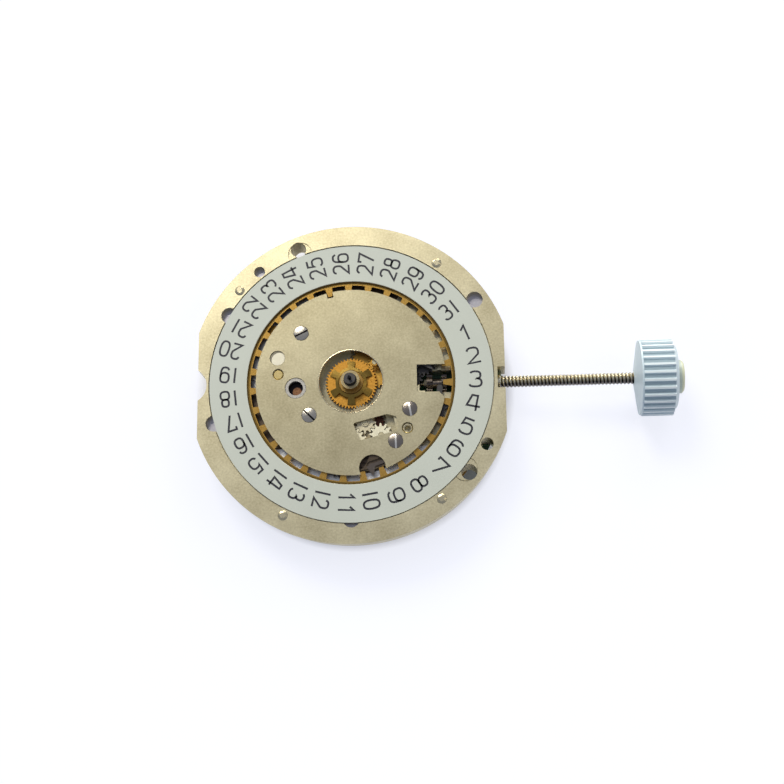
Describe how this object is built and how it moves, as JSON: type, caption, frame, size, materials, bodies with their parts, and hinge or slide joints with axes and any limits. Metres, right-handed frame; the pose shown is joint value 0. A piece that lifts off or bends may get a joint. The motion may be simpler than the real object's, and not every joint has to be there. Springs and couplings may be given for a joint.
{
  "type": "quartz watch movement",
  "caption": "Round quartz watch movement with date ring, hand arbors, battery and motor, and a long threaded setting stem with a ribbed crown.",
  "frame": {"origin": "axis of the hands, in the plane of the rim that the dial rests on", "axes": "+Z towards the dial, +X along the setting stem towards the crown, +Y towards 12 o'clock"},
  "size_m": [0.0385, 0.026, 0.0061],
  "materials": {
    "nickel_plate": "satin",
    "bright_steel": "polished",
    "dark_steel": "satin",
    "ring_brass": "satin",
    "wheel_brass": "satin",
    "pin_brass": "polished",
    "spring_bronze": "satin",
    "iron": "satin",
    "copper_wire": "gloss",
    "cheek_plastic": "matte",
    "battery_case": "satin",
    "board_laminate": "satin",
    "chip_resin": "matte",
    "jewel": "gloss",
    "crown_plastic": "matte",
    "white_plastic": "satin",
    "magnet": "satin"
  },
  "bodies": {
    "movement": {"main_plate": "nickel_plate", "rim_pins": "bright_steel", "dial_foot_clips": "dark_steel", "retainer_plate": "nickel_plate", "retainer_screws": "bright_steel", "locating_post": "nickel_plate", "brass_post": "pin_brass", "steel_bush": "bright_steel", "eyelet": "bright_steel", "date_jumper": "bright_steel", "jumper_pin": "bright_steel", "yoke_spring": "dark_steel", "stator": "iron", "coil_core": "iron", "coil": "copper_wire", "coil_cheeks": "cheek_plastic", "motor_screws": "bright_steel", "battery": "battery_case", "battery_contact": "wheel_brass", "battery_clamp": "bright_steel", "clamp_screws": "bright_steel", "circuit_board": "board_laminate", "chip_cap": "chip_resin", "quartz_can": "bright_steel", "board_screws": "bright_steel", "train_bridge": "nickel_plate", "bridge_jewels": "jewel", "bridge_screws": "bright_steel"},
    "seconds": {"seconds_wheel": "bright_steel"},
    "cannon": {"cannon_pinion": "bright_steel", "centre_wheel": "wheel_brass"},
    "third": {"third_wheel": "wheel_brass"},
    "intermediate": {"intermediate_wheel": "wheel_brass"},
    "rotor": {"rotor": "white_plastic", "rotor_magnet": "magnet"},
    "minute": {"minute_wheel": "wheel_brass"},
    "hour": {"hour_wheel": "wheel_brass", "dial_washer": "spring_bronze"},
    "setting": {"setting_wheel": "dark_steel"},
    "date_idler": {"date_idler": "wheel_brass"},
    "date_drive": {"date_wheel": "nickel_plate", "date_finger": "dark_steel"},
    "mark_wheel": {"mark_wheel": "nickel_plate"},
    "date_ring": {"date_ring": "ring_brass"},
    "corrector": {"date_corrector": "dark_steel"},
    "sliding_pinion": {"sliding_pinion": "dark_steel"},
    "stem": {"stem": "bright_steel", "crown": "crown_plastic"},
    "lever": {"setting_lever": "dark_steel"},
    "yoke": {"yoke": "dark_steel"}
  },
  "joints": [
    {"name": "seconds_turn", "type": "hinge", "parent": "movement", "child": "seconds", "pos_m": [0, 0, 0], "axis": [0, 0, 1], "continuous": true},
    {"name": "cannon_turn", "type": "hinge", "parent": "movement", "child": "cannon", "pos_m": [0, 0, 0], "axis": [0, 0, 1], "continuous": true},
    {"name": "third_turn", "type": "hinge", "parent": "movement", "child": "third", "pos_m": [0.00119, -0.00206, 0], "axis": [0, 0, 1], "continuous": true},
    {"name": "intermediate_turn", "type": "hinge", "parent": "movement", "child": "intermediate", "pos_m": [-0.00145, -0.00206, 0], "axis": [0, 0, 1], "continuous": true},
    {"name": "rotor_turn", "type": "hinge", "parent": "movement", "child": "rotor", "pos_m": [-0.00295, -0.00332, 0], "axis": [0, 0, 1], "continuous": true},
    {"name": "minute_turn", "type": "hinge", "parent": "movement", "child": "minute", "pos_m": [0.00192, 0.00161, 0], "axis": [0, 0, 1], "continuous": true},
    {"name": "hour_turn", "type": "hinge", "parent": "movement", "child": "hour", "pos_m": [0, 0, 0], "axis": [0, 0, 1], "continuous": true},
    {"name": "setting_turn", "type": "hinge", "parent": "movement", "child": "setting", "pos_m": [0.00466, 0.00062, 0], "axis": [0, 0, 1], "continuous": true},
    {"name": "date_idler_turn", "type": "hinge", "parent": "movement", "child": "date_idler", "pos_m": [0.00108, -0.00333, 0], "axis": [0, 0, 1], "continuous": true},
    {"name": "date_drive_turn", "type": "hinge", "parent": "movement", "child": "date_drive", "pos_m": [-0.00077, -0.0055, 0], "axis": [0, 0, 1], "continuous": true},
    {"name": "mark_turn", "type": "hinge", "parent": "movement", "child": "mark_wheel", "pos_m": [0.00236, -0.00433, 0], "axis": [0, 0, 1], "continuous": true},
    {"name": "date_ring_turn", "type": "hinge", "parent": "movement", "child": "date_ring", "pos_m": [0, 0, 0], "axis": [0, 0, 1], "continuous": true, "deforming": ["date_jumper"]},
    {"name": "corrector_turn", "type": "hinge", "parent": "movement", "child": "corrector", "pos_m": [0.00564, 0.00172, 0], "axis": [0, 0, 1], "continuous": true},
    {"name": "stem_turn", "type": "hinge", "parent": "movement", "child": "sliding_pinion", "pos_m": [0, 0, -0.00165], "axis": [1, 0, 0], "continuous": true},
    {"name": "stem_pull", "type": "slide", "parent": "sliding_pinion", "child": "stem", "axis": [1, 0, 0], "range_m": [0, 0.0009]},
    {"name": "lever_turn", "type": "hinge", "parent": "movement", "child": "lever", "pos_m": [0.00925, 0.00195, 0], "axis": [0, 0, 1], "range_deg": [0, 26.2]},
    {"name": "yoke_turn", "type": "hinge", "parent": "movement", "child": "yoke", "pos_m": [0.00684, -0.0026, 0], "axis": [0, 0, 1], "range_deg": [0, 13]}
  ],
  "couplings": [
    {"joint": "cannon_turn", "follows": "seconds_turn", "ratio": 0.016667},
    {"joint": "third_turn", "follows": "seconds_turn", "ratio": -0.13333},
    {"joint": "intermediate_turn", "follows": "seconds_turn", "ratio": -5},
    {"joint": "rotor_turn", "follows": "seconds_turn", "ratio": 30},
    {"joint": "minute_turn", "follows": "seconds_turn", "ratio": -0.0055556},
    {"joint": "hour_turn", "follows": "seconds_turn", "ratio": 0.0013889},
    {"joint": "setting_turn", "follows": "seconds_turn", "ratio": 0.01},
    {"joint": "date_idler_turn", "follows": "seconds_turn", "ratio": -0.0018519},
    {"joint": "date_drive_turn", "follows": "seconds_turn", "ratio": 0.00069444},
    {"joint": "mark_turn", "follows": "seconds_turn", "ratio": 0.0017094},
    {"joint": "lever_turn", "follows": "stem_pull", "rad_per_m": 504.32},
    {"joint": "yoke_turn", "follows": "stem_pull", "rad_per_m": 250}
  ]
}
